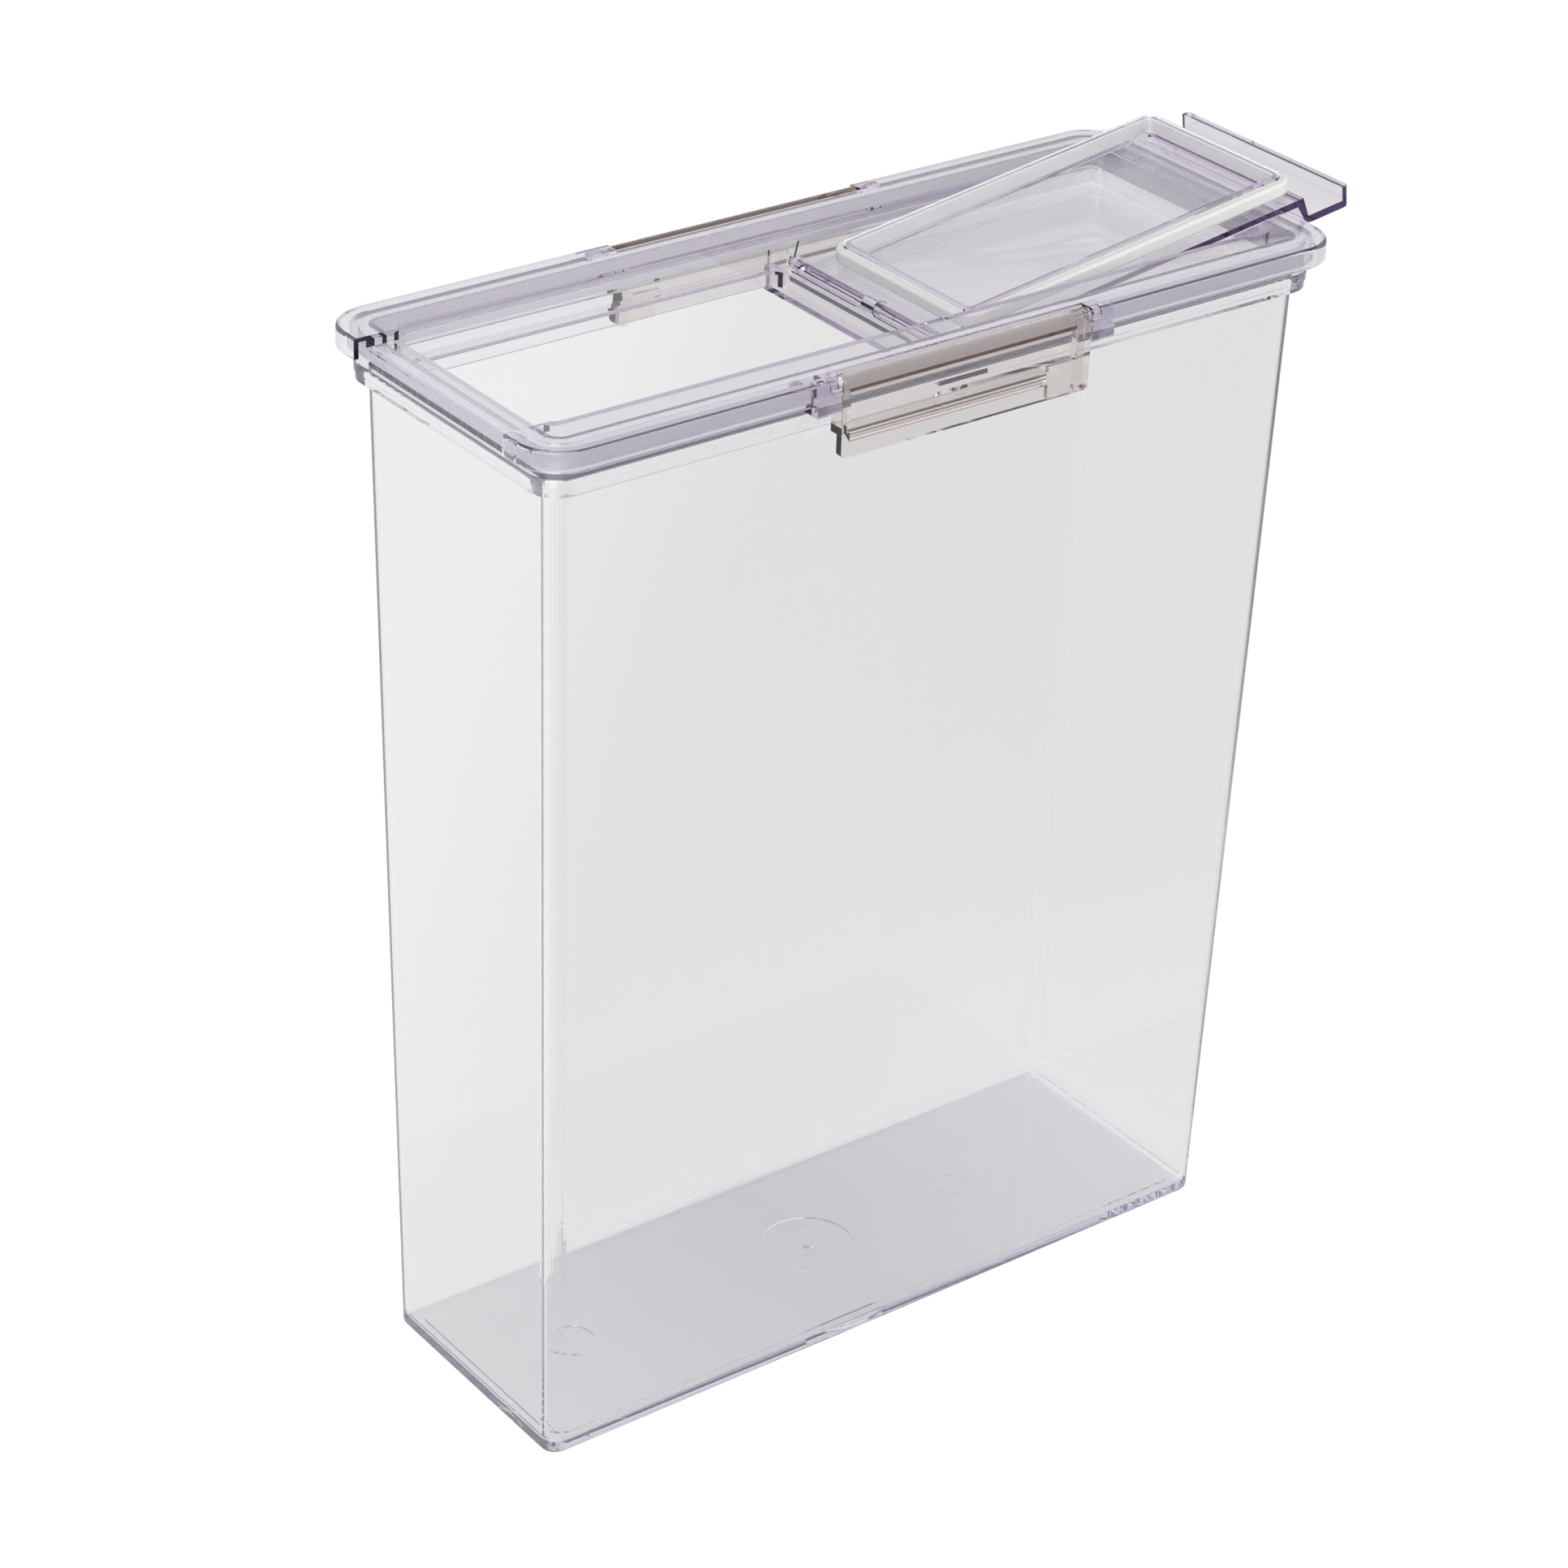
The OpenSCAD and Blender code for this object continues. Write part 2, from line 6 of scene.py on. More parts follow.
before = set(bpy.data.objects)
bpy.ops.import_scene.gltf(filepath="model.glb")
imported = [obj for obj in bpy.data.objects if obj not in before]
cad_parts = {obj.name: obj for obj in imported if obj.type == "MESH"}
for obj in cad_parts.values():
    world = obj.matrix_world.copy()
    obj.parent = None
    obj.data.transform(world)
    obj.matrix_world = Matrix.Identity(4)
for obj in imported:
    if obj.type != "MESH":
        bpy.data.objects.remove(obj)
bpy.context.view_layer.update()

bl_info = {
    "name": "Pour Container Finish",
    "version": (1, 0, 0),
    "blender": (4, 5, 0),
    "location": "View3D > Sidebar > Container",
    "description": "Gives the clear food container its plastics, soft rings, studio and camera",
    "category": "Object",
}

# Refraction, soft glow and grain of silicone
SILICONE_IOR = 1.41
SILICONE_GLOW = 0.25
SILICONE_GLOW_DEPTH = 0.002
SILICONE_GRAIN = 0.15
SILICONE_GRAIN_HEIGHT = 0.0001
SILICONE_DUST_SHADE = 0.96

# Grain and dust of silicone: noise detail, dust patches per metre, and how far dust sways roughness
GRAIN_DETAIL = 3.0
DUST_SCALE, DUST_DETAIL = 45.0, 2.0
DUST_SPREAD = 0.25

# Wiping marks on clear plastic: how they stretch upwards, and their noise
WIPE_STRETCH = (1.0, 1.0, 0.18)
WIPE_DETAIL, WIPE_HARSHNESS = 6.0, 0.7
WIPE_THINNING = 4.0
RIPPLE_DETAIL = 1.0

# Height of the slow ripple in the clear plastic, and how fine it is on each moulding
RIPPLE_HEIGHT = 0.001
BIN_RIPPLE = 10.0
LID_RIPPLE = 40.0
LATCH_RIPPLE = 50.0

# Half the bin's foot along X and Y, and where the shadow painted on the floor under it fades out,
# as shares of that
FOOT_HALF = (0.1068, 0.0360)
PAINTED_SHADOW_EDGE = (0.96, 1.04)

# Floor: half its side, gap under the foot, and where it turns fully white and where its painted
# light far behind rises
FLOOR_REACH = 6.0
FLOOR_GAP = 0.0002
WHITE_FROM, WHITE_FULL = 0.7, 2.2
PAINTED_LIGHT_FROM, PAINTED_LIGHT_FULL = 0.12, 0.26
DEEP_SPAN = 4.0

# Heights at which the room turns from floor to wall, and from wall to ceiling
WALL_FOOT, WALL_TOP, CEILING_EDGE = 0.12, 0.6, 0.8

# Lamps: place and width of each, and the point that both face
KEY_PLACE, KEY_WIDTH = (-1.2, -0.9, 1.5), 1.4
FILL_PLACE, FILL_WIDTH = (0.9, -1.6, 0.7), 1.2
LAMP_TARGET = (0, 0, 0.15)

# Camera: width of its film in millimetres, and the nearest thing that it sees
FILM_WIDTH = 36
NEAREST = 0.01

# How many faces a ray of light meets before it is given up, and how many a shadow looks through
CLEAR_BOUNCES = 250
SHADOW_LAYERS = 64

WHITE = (1, 1, 1, 1)
ROOM_GREY = (0.8, 0.8, 0.8, 1)


# ---- Settings ----


class PlasticSettings(bpy.types.PropertyGroup):
    """Colours and finish of the clear mouldings"""

    body_tint: bpy.props.FloatVectorProperty(
        name="Bin tint", description="Colour that a thick stretch of the bin takes on",
        subtype="COLOR", size=3, min=0, max=1, default=(0.80, 0.78, 0.84))
    lid_tint: bpy.props.FloatVectorProperty(
        name="Lid tint", description="Colour that a thick stretch of the lid and door takes on",
        subtype="COLOR", size=3, min=0, max=1, default=(0.63, 0.565, 0.71))
    latch_tint: bpy.props.FloatVectorProperty(
        name="Latch tint", description="Colour that a thick stretch of a latch takes on",
        subtype="COLOR", size=3, min=0, max=1, default=(0.73, 0.66, 0.62))
    body_density: bpy.props.FloatProperty(
        name="Bin density", description="How fast light is taken up in the bin, per metre",
        min=0, max=500, default=26)
    lid_density: bpy.props.FloatProperty(
        name="Lid density", description="How fast light is taken up in the lid and door, per metre",
        min=0, max=500, default=100)
    latch_density: bpy.props.FloatProperty(
        name="Latch density", description="How fast light is taken up in a latch, per metre",
        min=0, max=500, default=175)
    ior: bpy.props.FloatProperty(
        name="Refraction", description="Refractive index of the clear plastic",
        min=1.3, max=1.7, default=1.52)
    polish: bpy.props.FloatProperty(
        name="Roughness", description="Roughness of the polished faces",
        subtype="FACTOR", min=0, max=0.3, default=0.0)
    lamp_share: bpy.props.FloatProperty(
        name="Lamp share",
        description="Share of the lamps' light that passes each face of the clear plastic",
        subtype="FACTOR", min=0, max=1, default=0.96)
    scuff: bpy.props.FloatProperty(
        name="Scuffs", description="How much fine wiping and handling marks raise the roughness",
        subtype="FACTOR", min=0, max=1, default=0.02)
    wave: bpy.props.FloatProperty(
        name="Moulding wave", description="Strength of the slow ripple left by moulding",
        subtype="FACTOR", min=0, max=1, default=0.01)
    body_haze_start: bpy.props.FloatProperty(
        name="Bin haze start",
        description="How many times light is thrown back inside the bin before it blurs",
        min=0, max=100, default=8)
    lid_haze_start: bpy.props.FloatProperty(
        name="Lid haze start",
        description="How many times light is thrown back inside lid or latches before it blurs",
        min=0, max=100, default=16)
    haze_step: bpy.props.FloatProperty(
        name="Haze step", description="Roughness that each time after that adds",
        min=0.001, max=1, default=0.015)


class SoftRingSettings(bpy.types.PropertyGroup):
    """Colours and finish of the silicone rings"""

    gasket_colour: bpy.props.FloatVectorProperty(
        name="Gasket", description="Colour of the pour door's gasket",
        subtype="COLOR", size=3, min=0, max=1, default=(0.94, 0.94, 0.925))
    seal_colour: bpy.props.FloatVectorProperty(
        name="Lid seal", description="Colour of the lid's seal, as it looks through the lid",
        subtype="COLOR", size=3, min=0, max=1, default=(0.70, 0.70, 0.735))
    matt: bpy.props.FloatProperty(
        name="Roughness", description="Roughness of the silicone",
        subtype="FACTOR", min=0, max=1, default=0.42)


class StudioSettings(bpy.types.PropertyGroup):
    """Floor, lamps and camera"""

    floor_colour: bpy.props.FloatVectorProperty(
        name="Floor", description="Colour of the floor",
        subtype="COLOR", size=3, min=0, max=1, default=(0.90, 0.90, 0.90))
    floor_lift: bpy.props.FloatProperty(
        name="Floor lift", description="Light that the floor adds where it is the background",
        min=0, max=1, default=0.45)
    through_share: bpy.props.FloatProperty(
        name="Even share through plastic",
        description="How evenly the floor shows through plastic, without its shadow",
        subtype="FACTOR", min=0, max=1, default=0.75)
    through_level: bpy.props.FloatProperty(
        name="Level through plastic", description="Level of that even share",
        min=0, max=1, default=0.86)
    # Painted dark reflection: in front, mirrored or often bent light sees the floor at this low
    # level, fading to the full level between fade start and fade end
    painted_dark_front_level: bpy.props.FloatProperty(
        name="Front floor level",
        description="Level of the even share in front, for mirrored or often bent light",
        min=0, max=1, default=0.15)
    # Painted shadow: a darker violet tone painted on the floor under the bin's foot, as clear
    # plastic shows it, paler towards the foot's ends
    painted_shadow_colour: bpy.props.FloatVectorProperty(
        name="Under the bin", description="Colour of the even share under the bin's foot",
        subtype="COLOR", size=3, min=0, max=1, default=(0.555, 0.53, 0.58))
    painted_shadow_fade: bpy.props.FloatProperty(
        name="Under fade", description="How much paler that colour is at the ends of the foot",
        subtype="FACTOR", min=0, max=1, default=0.3)
    # Painted light: the floor that clear plastic shows is made lighter far behind the pour end
    painted_light_rise: bpy.props.FloatProperty(
        name="Far floor rise",
        description="How much lighter the even share is far behind the pour end",
        min=0, max=0.5, default=0.12)
    # Painted dark reflection: after this many faces, light sees the floor at the dark front level
    painted_dark_depth: bpy.props.FloatProperty(
        name="Deep start",
        description="Number of faces that light passes before it shows the front floor's level",
        min=0, max=100, default=6)
    fade_start: bpy.props.FloatProperty(
        name="Fade start", description="Where the even share leaves its front level",
        subtype="DISTANCE", default=-0.25)
    fade_end: bpy.props.FloatProperty(
        name="Fade end", description="Where the even share reaches its full level",
        subtype="DISTANCE", default=-0.05)
    sky: bpy.props.FloatProperty(
        name="Room light", description="Strength of the even light of the room",
        min=0, max=2, default=0.55)
    wall: bpy.props.FloatProperty(
        name="Wall level",
        description="Level of the room's walls where the clear pieces mirror or bend to them",
        min=0, max=1, default=0.88)
    ceiling: bpy.props.FloatProperty(
        name="Ceiling level",
        description="Level of the soft ceiling light where the clear pieces show it",
        min=0, max=5, default=1.3)
    key_power: bpy.props.FloatProperty(
        name="Key lamp", description="Power of the large soft lamp",
        subtype="POWER", min=0, max=500, default=16)
    fill_power: bpy.props.FloatProperty(
        name="Fill lamp", description="Power of the soft lamp in front",
        subtype="POWER", min=0, max=500, default=11)
    camera_place: bpy.props.FloatVectorProperty(
        name="Camera place", description="Where the camera stands",
        subtype="TRANSLATION", size=3, default=(-0.59360, -0.75104, 0.67997))
    camera_azimuth: bpy.props.FloatProperty(
        name="Azimuth", description="Direction round the container that the camera looks from",
        subtype="ANGLE", default=math.radians(-37.6992))
    camera_height: bpy.props.FloatProperty(
        name="Elevation", description="Angle above the horizon that the camera looks from",
        subtype="ANGLE", default=math.radians(29.2663))
    camera_roll: bpy.props.FloatProperty(
        name="Roll", description="Turn of the camera about its own line of sight",
        subtype="ANGLE", default=math.radians(2.1175))
    camera_lens: bpy.props.FloatProperty(
        name="Lens", description="Focal length of the camera on a 36 mm wide film, in millimetres",
        min=20, max=300, default=99.62)


# ---- Shader building ----


def new_group(name, inputs, outputs):
    """A shader node group with named sockets: name, kind, default."""
    group = bpy.data.node_groups.new(name, "ShaderNodeTree")
    for title, kind, value in inputs:
        socket = group.interface.new_socket(name=title, in_out="INPUT", socket_type=kind)
        socket.default_value = value
    for title, kind in outputs:
        group.interface.new_socket(name=title, in_out="OUTPUT", socket_type=kind)
    into = group.nodes.new("NodeGroupInput")
    out = group.nodes.new("NodeGroupOutput")
    return group, into, out


def math_node(tree, operation, a, b=0.0):
    """A math node whose inputs are sockets or numbers."""
    node = tree.nodes.new("ShaderNodeMath")
    node.operation = operation
    for socket, value in zip(node.inputs, (a, b)):
        if isinstance(value, (int, float)):
            socket.default_value = value
        else:
            tree.links.new(value, socket)
    return node.outputs[0]


def range_node(tree, value, start, end, low, high):
    """Turns a value from start to end into one from low to high, and holds it there beyond."""
    node = tree.nodes.new("ShaderNodeMapRange")
    tree.links.new(value, node.inputs["Value"])
    for title, number in zip(("From Min", "From Max", "To Min", "To Max"), (start, end, low, high)):
        node.inputs[title].default_value = number
    return node.outputs["Result"]


def mixed_shader(tree, share, first, second):
    """The first shader where share is 0, the second where it is 1."""
    mix = tree.nodes.new("ShaderNodeMixShader")
    tree.links.new(share, mix.inputs["Fac"])
    tree.links.new(first, mix.inputs[1])
    tree.links.new(second, mix.inputs[2])
    return mix.outputs["Shader"]


def place_node(tree, kind="Object"):
    """A texture coordinate's output."""
    return tree.nodes.new("ShaderNodeTexCoord").outputs[kind]


def split_place(tree, kind="Object"):
    """The X, Y and Z outputs of a texture coordinate."""
    split = tree.nodes.new("ShaderNodeSeparateXYZ")
    tree.links.new(place_node(tree, kind), split.inputs["Vector"])
    return split.outputs


def noise_node(tree, place, scale, detail, roughness=0.5):
    """A noise texture's value at a place socket."""
    node = tree.nodes.new("ShaderNodeTexNoise")
    node.inputs["Detail"].default_value = detail
    node.inputs["Roughness"].default_value = roughness
    if isinstance(scale, (int, float)):
        node.inputs["Scale"].default_value = scale
    else:
        tree.links.new(scale, node.inputs["Scale"])
    tree.links.new(place, node.inputs["Vector"])
    return node.outputs["Fac"]


def moulded_face_group():
    """Roughness and height of a polished moulded face: slow ripple, fine wiping marks."""
    name = "Moulded face"
    if name in bpy.data.node_groups:
        return bpy.data.node_groups[name]
    group, into, out = new_group(
        name,
        [("Polish", "NodeSocketFloat", 0.02), ("Scuff", "NodeSocketFloat", 0.25),
         ("Ripple Scale", "NodeSocketFloat", 14.0), ("Wipe Scale", "NodeSocketFloat", 60.0)],
        [("Roughness", "NodeSocketFloat"), ("Height", "NodeSocketFloat")],
    )
    place = place_node(group)
    stretch = group.nodes.new("ShaderNodeMapping")
    stretch.inputs["Scale"].default_value = WIPE_STRETCH
    group.links.new(place, stretch.inputs["Vector"])
    ripple = noise_node(group, place, into.outputs["Ripple Scale"], RIPPLE_DETAIL)
    wipe = noise_node(
        group, stretch.outputs["Vector"], into.outputs["Wipe Scale"], WIPE_DETAIL, WIPE_HARSHNESS)
    marks = math_node(group, "POWER", wipe, WIPE_THINNING)
    raised = math_node(group, "MULTIPLY", marks, into.outputs["Scuff"])
    roughness = math_node(group, "ADD", raised, into.outputs["Polish"])
    group.links.new(roughness, out.inputs["Roughness"])
    group.links.new(ripple, out.inputs["Height"])
    return group


def soft_face_group():
    """Roughness and height of a silicone face: fine dull grain and faint dust."""
    name = "Silicone face"
    if name in bpy.data.node_groups:
        return bpy.data.node_groups[name]
    group, into, out = new_group(
        name,
        [("Matt", "NodeSocketFloat", 0.42), ("Grain Scale", "NodeSocketFloat", 900.0)],
        [("Roughness", "NodeSocketFloat"), ("Height", "NodeSocketFloat"),
         ("Dust", "NodeSocketFloat")],
    )
    place = place_node(group)
    grain = noise_node(group, place, into.outputs["Grain Scale"], GRAIN_DETAIL)
    patches = noise_node(group, place, DUST_SCALE, DUST_DETAIL)
    spread = math_node(group, "MULTIPLY", math_node(group, "SUBTRACT", patches, 0.5), DUST_SPREAD)
    group.links.new(math_node(group, "ADD", into.outputs["Matt"], spread), out.inputs["Roughness"])
    group.links.new(grain, out.inputs["Height"])
    group.links.new(patches, out.inputs["Dust"])
    return group


def new_material(name):
    """An empty node material with its output node."""
    material = bpy.data.materials.new(name)
    material.use_nodes = True
    material.node_tree.nodes.clear()
    out = material.node_tree.nodes.new("ShaderNodeOutputMaterial")
    return material, material.node_tree, out


def lamps_through(tree, shader, out, share):
    """Lets light from the lamps through a clear shader, so that what lies behind it isn't black."""
    clear = tree.nodes.new("ShaderNodeBsdfTransparent")
    clear.inputs["Color"].default_value = (share, share, share, 1)
    path = tree.nodes.new("ShaderNodeLightPath")
    mixed = mixed_shader(
        tree, path.outputs["Is Shadow Ray"], shader.outputs["BSDF"], clear.outputs["BSDF"])
    tree.links.new(mixed, out.inputs["Surface"])


def clear_plastic(name, tint, density, settings, ripple_scale, haze_start):
    """Polished clear plastic that takes on its tint with thickness.

    Light that is thrown back inside more than haze_start times blurs, as it does in real plastic.
    """
    material, tree, out = new_material(name)
    shader = tree.nodes.new("ShaderNodeBsdfPrincipled")
    shader.inputs["Base Color"].default_value = WHITE
    shader.inputs["Transmission Weight"].default_value = 1.0
    shader.inputs["IOR"].default_value = settings.ior
    face = tree.nodes.new("ShaderNodeGroup")
    face.node_tree = moulded_face_group()
    face.inputs["Polish"].default_value = settings.polish
    face.inputs["Scuff"].default_value = settings.scuff
    face.inputs["Ripple Scale"].default_value = ripple_scale
    bump = tree.nodes.new("ShaderNodeBump")
    bump.inputs["Strength"].default_value = settings.wave
    bump.inputs["Distance"].default_value = RIPPLE_HEIGHT
    path = tree.nodes.new("ShaderNodeLightPath")
    haze = range_node(
        tree, path.outputs["Glossy Depth"], haze_start, haze_start + 1 / settings.haze_step, 0, 1)
    roughness = math_node(tree, "ADD", haze, face.outputs["Roughness"])
    tree.links.new(roughness, shader.inputs["Roughness"])
    tree.links.new(face.outputs["Height"], bump.inputs["Height"])
    tree.links.new(bump.outputs["Normal"], shader.inputs["Normal"])
    lamps_through(tree, shader, out, settings.lamp_share)
    inside = tree.nodes.new("ShaderNodeVolumeAbsorption")
    inside.inputs["Color"].default_value = (*tint, 1)
    inside.inputs["Density"].default_value = density
    tree.links.new(inside.outputs["Volume"], out.inputs["Volume"])
    return material


def silicone(name, colour, matt):
    """Soft silicone with a fine grain and faint dust."""
    material, tree, out = new_material(name)
    shader = tree.nodes.new("ShaderNodeBsdfPrincipled")
    shader.inputs["IOR"].default_value = SILICONE_IOR
    shader.inputs["Subsurface Weight"].default_value = SILICONE_GLOW
    shader.inputs["Subsurface Radius"].default_value = [SILICONE_GLOW_DEPTH] * 3
    face = tree.nodes.new("ShaderNodeGroup")
    face.node_tree = soft_face_group()
    face.inputs["Matt"].default_value = matt
    bump = tree.nodes.new("ShaderNodeBump")
    bump.inputs["Strength"].default_value = SILICONE_GRAIN
    bump.inputs["Distance"].default_value = SILICONE_GRAIN_HEIGHT
    shade = tree.nodes.new("ShaderNodeMix")
    shade.data_type = "RGBA"
    shade.inputs["A"].default_value = (*[SILICONE_DUST_SHADE * c for c in colour], 1)
    shade.inputs["B"].default_value = (*colour, 1)
    tree.links.new(face.outputs["Dust"], shade.inputs["Factor"])
    tree.links.new(shade.outputs["Result"], shader.inputs["Base Color"])
    tree.links.new(face.outputs["Roughness"], shader.inputs["Roughness"])
    tree.links.new(face.outputs["Height"], bump.inputs["Height"])
    tree.links.new(bump.outputs["Normal"], shader.inputs["Normal"])
    tree.links.new(shader.outputs["BSDF"], out.inputs["Surface"])
    return material


def dress(node, material):
    """Gives a CAD node its material."""
    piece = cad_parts[node]
    piece.data.materials.clear()
    piece.data.materials.append(material)


# ---- Pieces ----


class CONTAINER_OT_finish_bin(bpy.types.Operator):
    """Gives the bin its clear plastic"""

    bl_idname = "container.finish_bin"
    bl_label = "Finish bin"

    def execute(self, context):
        plastic = context.scene.container_plastic
        material = clear_plastic("clear_body", plastic.body_tint, plastic.body_density,
                                 plastic, BIN_RIPPLE, plastic.body_haze_start)
        dress("bin", material)
        return {"FINISHED"}


class CONTAINER_OT_finish_lid(bpy.types.Operator):
    """Gives the lid and the pour door their faintly violet plastic"""

    bl_idname = "container.finish_lid"
    bl_label = "Finish lid and door"

    def execute(self, context):
        plastic = context.scene.container_plastic
        material = clear_plastic("clear_lid", plastic.lid_tint, plastic.lid_density,
                                 plastic, LID_RIPPLE, plastic.lid_haze_start)
        dress("lid", material)
        dress("flip_door", material)
        return {"FINISHED"}


class CONTAINER_OT_finish_latches(bpy.types.Operator):
    """Gives both latches their smoky plastic"""

    bl_idname = "container.finish_latches"
    bl_label = "Finish latches"

    def execute(self, context):
        plastic = context.scene.container_plastic
        material = clear_plastic("smoky_latch", plastic.latch_tint, plastic.latch_density,
                                 plastic, LATCH_RIPPLE, plastic.lid_haze_start)
        for node in ("front_latch", "back_latch"):
            dress(node, material)
        return {"FINISHED"}


class CONTAINER_OT_finish_soft_rings(bpy.types.Operator):
    """Gives the lid's seal and the door's gasket their silicone"""

    bl_idname = "container.finish_soft_rings"
    bl_label = "Finish soft rings"

    def execute(self, context):
        rings = context.scene.container_rings
        dress("door_gasket", silicone("white_silicone", rings.gasket_colour, rings.matt))
        dress("lid_seal", silicone("clear_silicone", rings.seal_colour, rings.matt))
        return {"FINISHED"}


# ---- Studio ----


def floor_with_painted_shade(tree, studio, path):
    """The floor as clear plastic shows it: an even level without its real shadow, with a painted
    shadow under the bin, painted light far behind and a painted dark reflection in front.
    """
    axes = split_place(tree)
    # Painted dark reflection: the floor is dim in front for mirrored or often bent light
    front = range_node(tree, axes["Y"], studio.fade_start, studio.fade_end,
                       studio.painted_dark_front_level, studio.through_level)
    # Painted light: the floor that clear plastic shows grows lighter far behind the pour end
    across = math_node(tree, "SUBTRACT", axes["Y"], axes["X"])
    far = range_node(tree, across, PAINTED_LIGHT_FROM, PAINTED_LIGHT_FULL, 0, studio.painted_light_rise)
    deep = range_node(tree, path.outputs["Ray Depth"],
                      studio.painted_dark_depth, studio.painted_dark_depth + DEEP_SPAN, 0, 1)
    level = tree.nodes.new("ShaderNodeMix")
    mirrored = math_node(tree, "MAXIMUM", deep, path.outputs["Is Reflection Ray"])
    tree.links.new(mirrored, level.inputs["Factor"])
    tree.links.new(math_node(tree, "ADD", far, studio.through_level), level.inputs["A"])
    tree.links.new(math_node(tree, "ADD", front, far), level.inputs["B"])
    sides = [
        math_node(tree, "DIVIDE", math_node(tree, "ABSOLUTE", axes[axis]), reach)
        for axis, reach in zip("XY", FOOT_HALF)
    ]
    # Painted shadow: under the bin's foot the floor turns to the darker tone, paler towards the
    # foot's ends along X
    beyond_painted_shadow = range_node(tree, math_node(tree, "MAXIMUM", *sides), *PAINTED_SHADOW_EDGE, 0, 1)
    paler = math_node(tree, "MULTIPLY", sides[0], studio.painted_shadow_fade)
    painted_shadow_tone = tree.nodes.new("ShaderNodeMix")
    painted_shadow_tone.data_type = "RGBA"
    painted_shadow_tone.inputs["A"].default_value = (*studio.painted_shadow_colour, 1)
    painted_shadow_tone.inputs["B"].default_value = WHITE
    tree.links.new(math_node(tree, "ADD", beyond_painted_shadow, paler), painted_shadow_tone.inputs["Factor"])
    even = tree.nodes.new("ShaderNodeEmission")
    tree.links.new(painted_shadow_tone.outputs["Result"], even.inputs["Color"])
    tree.links.new(level.outputs["Result"], even.inputs["Strength"])
    return even.outputs["Emission"]


def floor_material(studio):
    """Pale floor that shows as white background and keeps a soft shadow."""
    material, tree, out = new_material("studio_floor")
    path = tree.nodes.new("ShaderNodeLightPath")
    matt = tree.nodes.new("ShaderNodeBsdfDiffuse")
    matt.inputs["Color"].default_value = (*studio.floor_colour, 1)
    away = tree.nodes.new("ShaderNodeVectorMath")
    away.operation = "LENGTH"
    tree.links.new(place_node(tree), away.inputs[0])
    lift = range_node(tree, away.outputs["Value"], WHITE_FROM, WHITE_FULL, studio.floor_lift, 1)
    glow = tree.nodes.new("ShaderNodeEmission")
    glow.inputs["Color"].default_value = WHITE
    seen_lift = math_node(tree, "MULTIPLY", path.outputs["Is Camera Ray"], lift)
    tree.links.new(seen_lift, glow.inputs["Strength"])
    lit = tree.nodes.new("ShaderNodeAddShader")
    tree.links.new(matt.outputs["BSDF"], lit.inputs[0])
    tree.links.new(glow.outputs["Emission"], lit.inputs[1])
    share = math_node(tree, "MULTIPLY", path.outputs["Is Glossy Ray"], studio.through_share)
    mixed = mixed_shader(tree, share, lit.outputs["Shader"], floor_with_painted_shade(tree, studio, path))
    tree.links.new(mixed, out.inputs["Surface"])
    return material


def add_lamp(name, place, size, power, mirrored):
    """A square soft lamp that faces the container; mirrored if the clear pieces show its image."""
    lamp = bpy.data.lights.new(name, "AREA")
    lamp.size = size
    lamp.energy = power
    holder = bpy.data.objects.new(name, lamp)
    holder.location = place
    holder.visible_glossy = holder.visible_transmission = mirrored
    away = Vector(place) - Vector(LAMP_TARGET)
    holder.rotation_euler = away.to_track_quat("Z", "Y").to_euler()
    bpy.context.scene.collection.objects.link(holder)


def background_node(tree, colour, strength=1.0):
    """A world background of a colour and strength."""
    node = tree.nodes.new("ShaderNodeBackground")
    node.inputs["Color"].default_value = colour
    node.inputs["Strength"].default_value = strength
    return node


def room_light(studio):
    """World: white as background, wall and ceiling in the clear pieces, even light elsewhere."""
    world = bpy.data.worlds.new("studio_room")
    world.use_nodes = True
    tree = world.node_tree
    tree.nodes.clear()
    out = tree.nodes.new("ShaderNodeOutputWorld")
    path = tree.nodes.new("ShaderNodeLightPath")
    axes = split_place(tree, "Generated")
    bands = tree.nodes.new("ShaderNodeValToRGB")
    tree.links.new(axes["Z"], bands.inputs["Fac"])
    steps = bands.color_ramp.elements
    steps[0].position, steps[0].color = 0.0, WHITE
    steps[1].position, steps[1].color = WALL_FOOT, (*[studio.wall] * 3, 1)
    for position, level in ((WALL_TOP, studio.wall), (CEILING_EDGE, studio.ceiling)):
        steps.new(position).color = (level, level, level, 1)
    even = background_node(tree, ROOM_GREY, studio.sky)
    bent = background_node(tree, WHITE)
    tree.links.new(bands.outputs["Color"], bent.inputs["Color"])
    white = background_node(tree, WHITE)
    clear = math_node(
        tree, "MAXIMUM", path.outputs["Is Glossy Ray"], path.outputs["Is Transmission Ray"])
    room = mixed_shader(tree, clear, even.outputs["Background"], bent.outputs["Background"])
    seen = mixed_shader(tree, path.outputs["Is Camera Ray"], room, white.outputs["Background"])
    tree.links.new(seen, out.inputs["Surface"])
    bpy.context.scene.world = world


def add_camera(studio):
    """The camera, from its place, angles and lens."""
    az, el, roll = studio.camera_azimuth, studio.camera_height, studio.camera_roll
    back = Vector((math.sin(az) * math.cos(el), -math.cos(az) * math.cos(el), math.sin(el)))
    right = Vector((math.cos(az), math.sin(az), 0))
    up = back.cross(right)
    turned_right = math.cos(roll) * right + math.sin(roll) * up
    turned_up = -math.sin(roll) * right + math.cos(roll) * up
    data = bpy.data.cameras.new("studio_camera")
    data.lens = studio.camera_lens
    data.sensor_width = FILM_WIDTH
    data.clip_start = NEAREST
    camera = bpy.data.objects.new("studio_camera", data)
    turn = Matrix((turned_right, turned_up, back)).transposed().to_4x4()
    camera.matrix_world = Matrix.Translation(studio.camera_place) @ turn
    bpy.context.scene.collection.objects.link(camera)
    bpy.context.scene.camera = camera


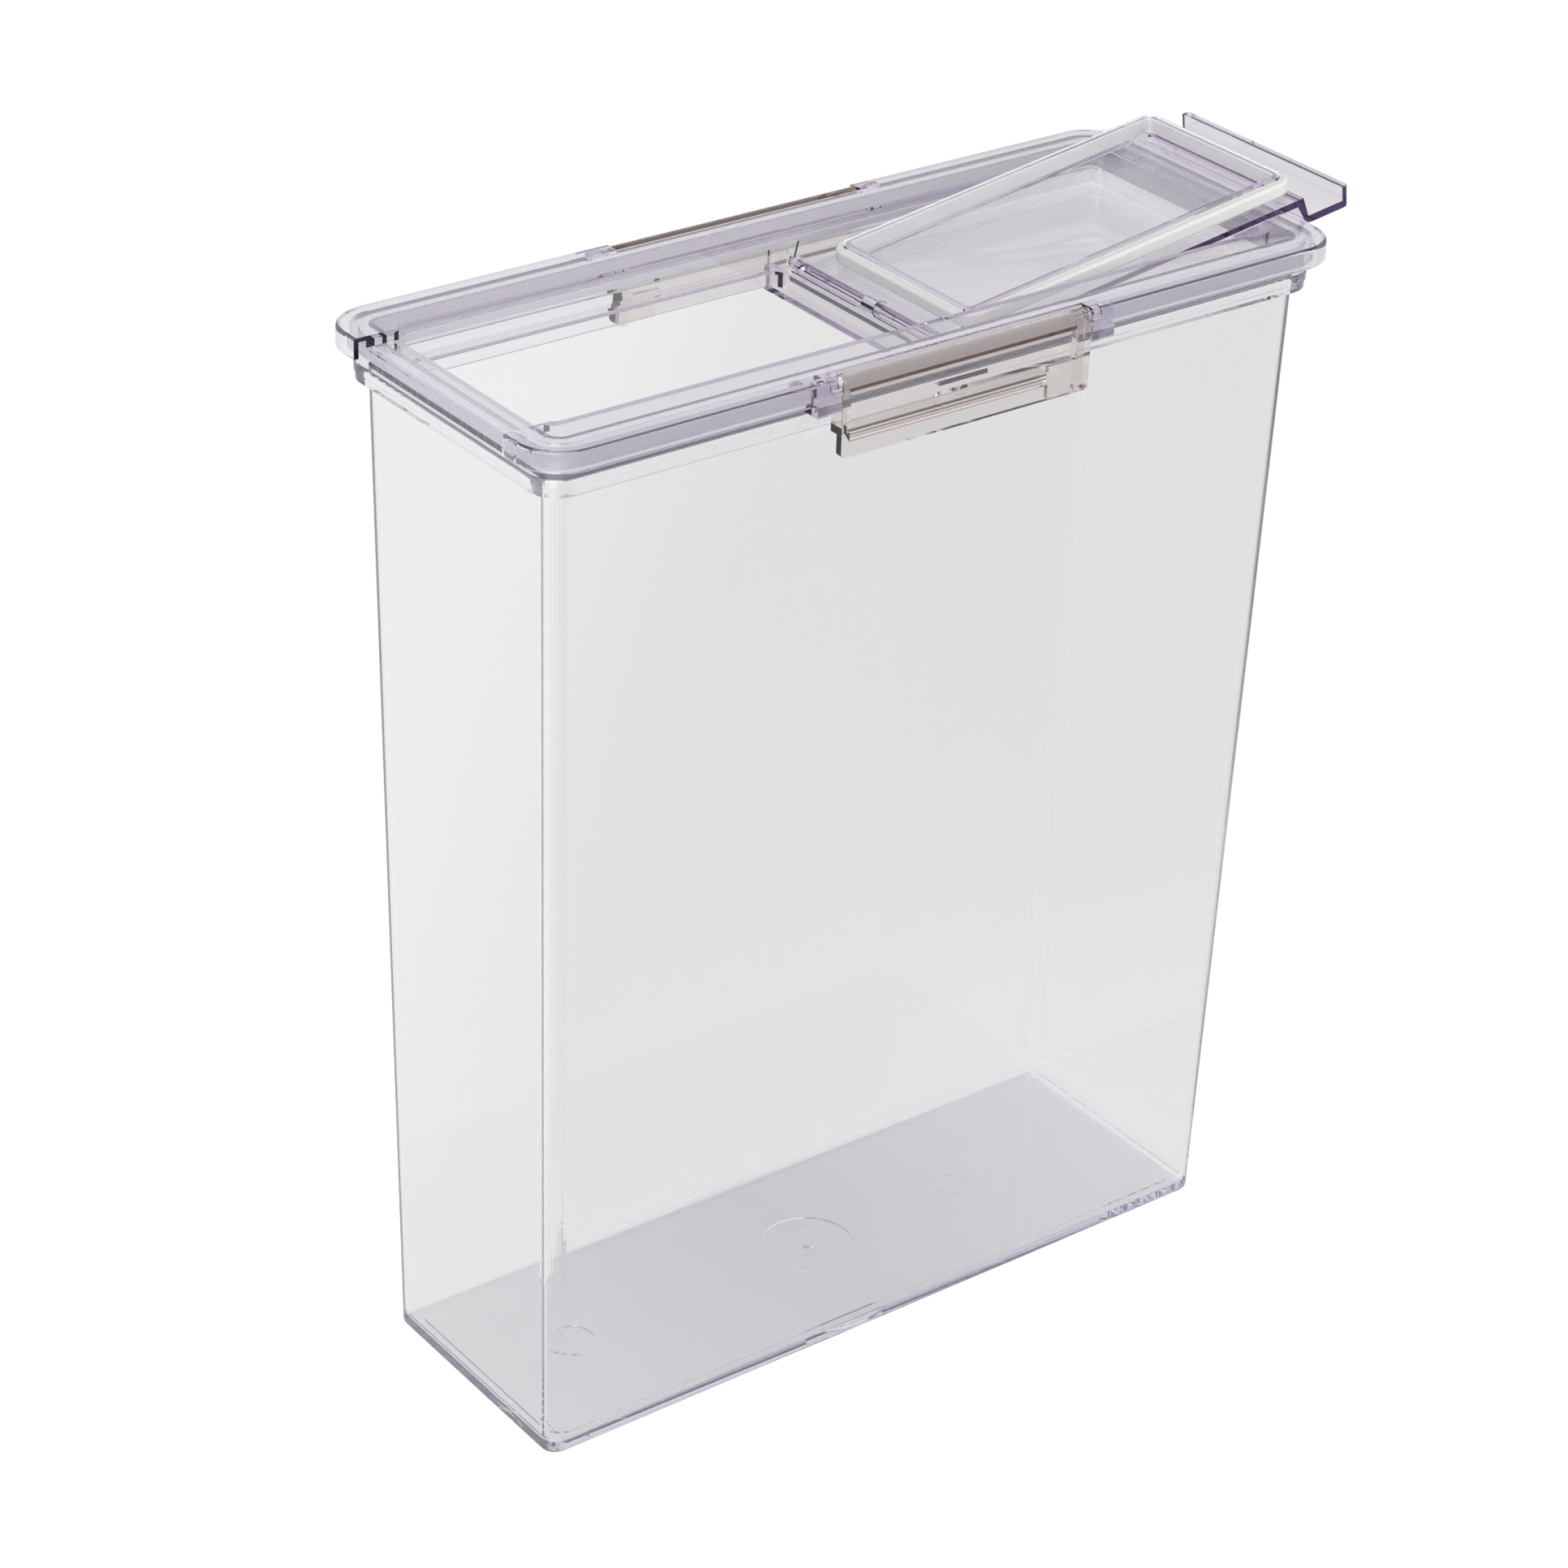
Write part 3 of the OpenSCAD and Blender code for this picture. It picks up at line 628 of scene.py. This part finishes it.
class CONTAINER_OT_set_stage(bpy.types.Operator):
    """Makes the floor, the lamps, the room's light and the camera"""

    bl_idname = "container.set_stage"
    bl_label = "Set stage"

    def execute(self, context):
        studio = context.scene.container_studio
        mesh = bpy.data.meshes.new("studio_floor")
        signs = ((-1, -1), (1, -1), (1, 1), (-1, 1))
        corners = [(x * FLOOR_REACH, y * FLOOR_REACH, 0) for x, y in signs]
        mesh.from_pydata(corners, [], [(0, 1, 2, 3)])
        mesh.materials.append(floor_material(studio))
        floor = bpy.data.objects.new("studio_floor", mesh)
        floor.location.z = -FLOOR_GAP
        context.scene.collection.objects.link(floor)
        add_lamp("key_lamp", KEY_PLACE, KEY_WIDTH, studio.key_power, mirrored=True)
        add_lamp("fill_lamp", FILL_PLACE, FILL_WIDTH, studio.fill_power, mirrored=False)
        room_light(studio)
        add_camera(studio)
        context.scene.view_settings.view_transform = "Standard"
        cycles = context.scene.cycles
        cycles.max_bounces = cycles.transmission_bounces = cycles.glossy_bounces = CLEAR_BOUNCES
        cycles.transparent_max_bounces = SHADOW_LAYERS
        return {"FINISHED"}


class CONTAINER_PT_panel(bpy.types.Panel):
    """Lists the steps and settings of the container's finish"""

    bl_label = "Container"
    bl_idname = "CONTAINER_PT_panel"
    bl_space_type = "VIEW_3D"
    bl_region_type = "UI"
    bl_category = "Container"

    def draw(self, context):
        for operator in OPERATORS:
            self.layout.operator(operator.bl_idname)
        for title, settings in (
            ("Plastic", context.scene.container_plastic),
            ("Soft rings", context.scene.container_rings),
            ("Studio", context.scene.container_studio),
        ):
            box = self.layout.box()
            box.label(text=title)
            for name in settings.bl_rna.properties.keys():
                if name not in ("rna_type", "name"):
                    box.prop(settings, name)


OPERATORS = (
    CONTAINER_OT_finish_bin,
    CONTAINER_OT_finish_lid,
    CONTAINER_OT_finish_latches,
    CONTAINER_OT_finish_soft_rings,
    CONTAINER_OT_set_stage,
)
CLASSES = (PlasticSettings, SoftRingSettings, StudioSettings, *OPERATORS, CONTAINER_PT_panel)


def register():
    for cls in CLASSES:
        bpy.utils.register_class(cls)
    bpy.types.Scene.container_plastic = bpy.props.PointerProperty(type=PlasticSettings)
    bpy.types.Scene.container_rings = bpy.props.PointerProperty(type=SoftRingSettings)
    bpy.types.Scene.container_studio = bpy.props.PointerProperty(type=StudioSettings)


def unregister():
    del bpy.types.Scene.container_studio
    del bpy.types.Scene.container_rings
    del bpy.types.Scene.container_plastic
    for cls in reversed(CLASSES):
        bpy.utils.unregister_class(cls)


def main():
    register()
    bpy.ops.container.finish_bin()
    bpy.ops.container.finish_lid()
    bpy.ops.container.finish_latches()
    bpy.ops.container.finish_soft_rings()
    bpy.ops.container.set_stage()


if __name__ == "__main__":
    main()
